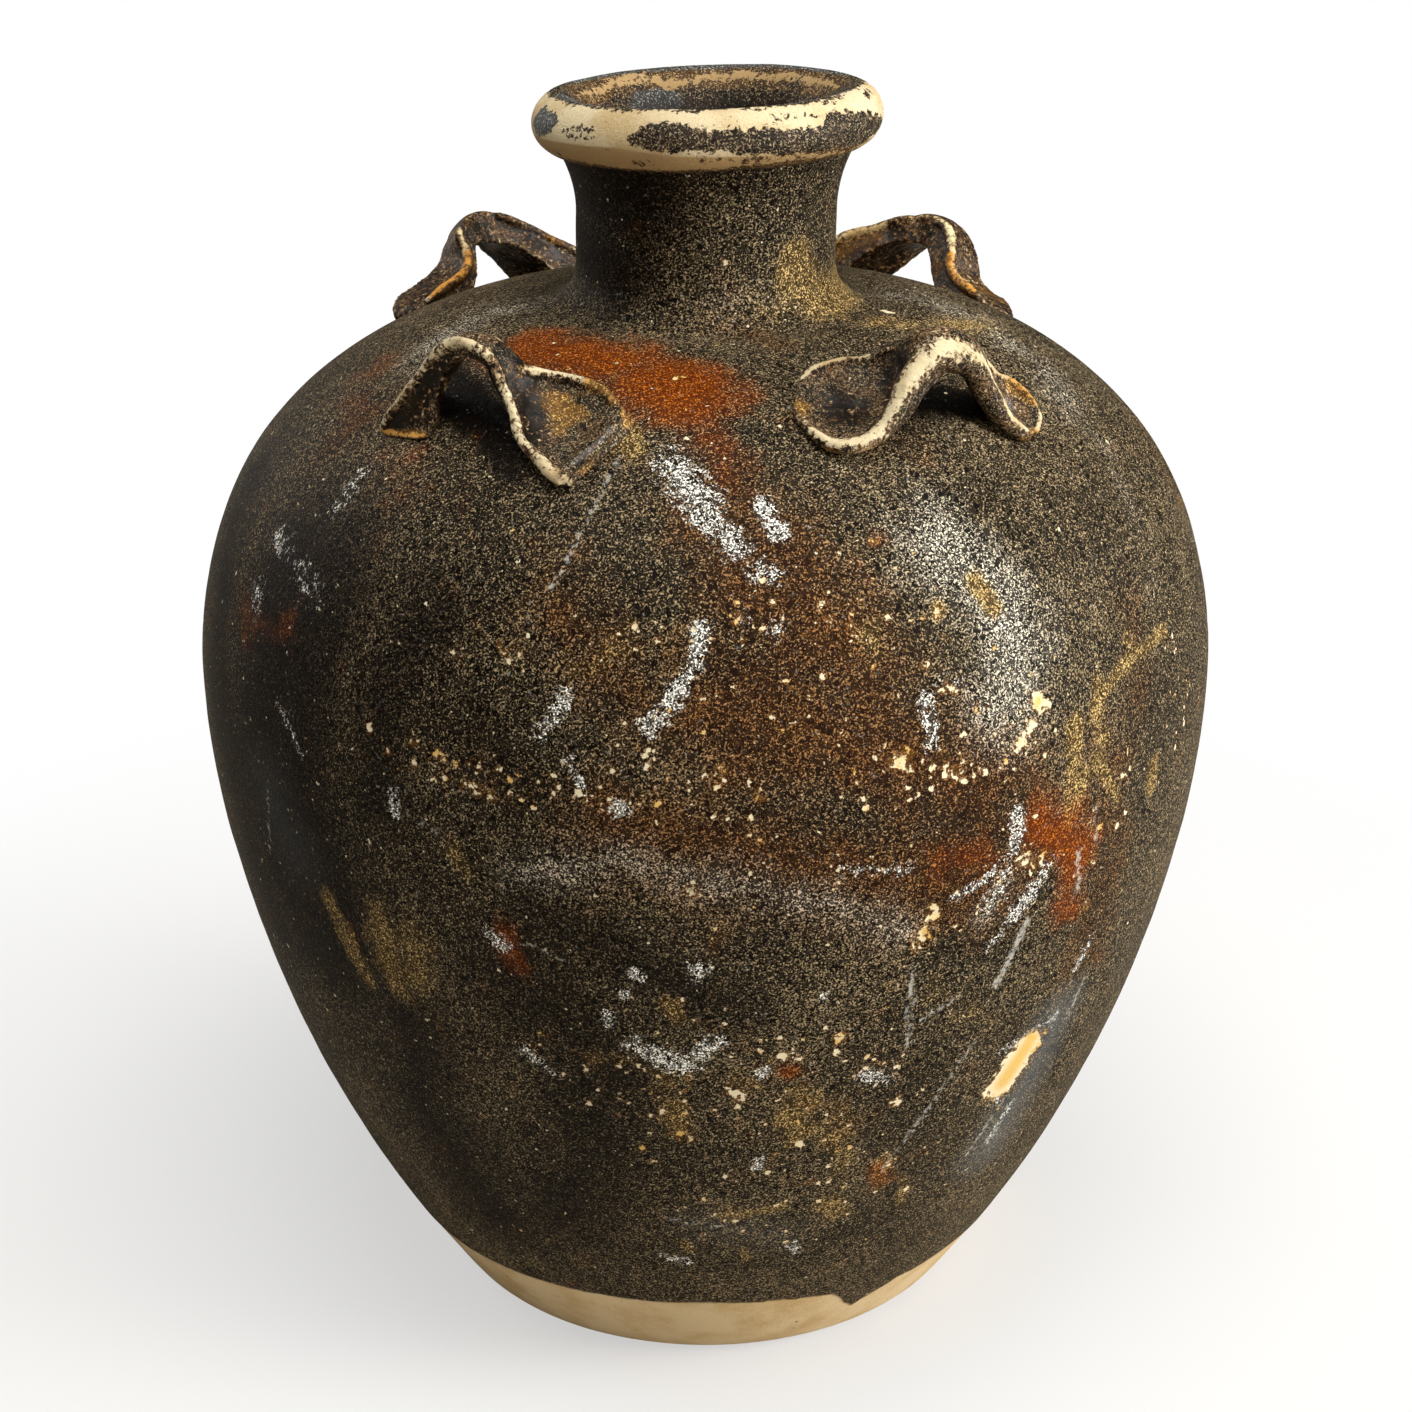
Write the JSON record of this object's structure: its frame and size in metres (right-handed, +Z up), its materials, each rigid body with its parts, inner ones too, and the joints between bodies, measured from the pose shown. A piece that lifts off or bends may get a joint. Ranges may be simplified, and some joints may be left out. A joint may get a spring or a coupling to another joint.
{
  "type": "martaban jar",
  "caption": "Round-shouldered stoneware storage jar with a narrow collar neck, rolled rim and strap lugs on the shoulder, in worn dark brown glaze over a bare flat foot.",
  "frame": {"origin": "middle of the flat foot, on the surface that the jar stands on", "axes": "+Z up the jar's axis, -Y towards the front, +X to the viewer's right"},
  "size_m": [0.247, 0.247, 0.3],
  "materials": {
    "bare_stoneware": "bare buff stoneware, matte",
    "brown_black_glaze": "dark brown-black glaze worn to a fine matte speckle",
    "worn_rim_glaze": "dark glaze mostly rubbed through to cream stoneware",
    "lug_glaze": "dark brown glaze, thin and ochre on the edges"
  },
  "bodies": {
    "root": {"base": "bare_stoneware", "lower_wall": "brown_black_glaze", "upper_wall": "brown_black_glaze", "neck_collar": "brown_black_glaze", "rolled_rim": "worn_rim_glaze", "front_left_lug": "lug_glaze", "front_right_lug": "lug_glaze", "rear_right_lug": "lug_glaze", "rear_left_lug": "lug_glaze"}
  },
  "joints": []
}
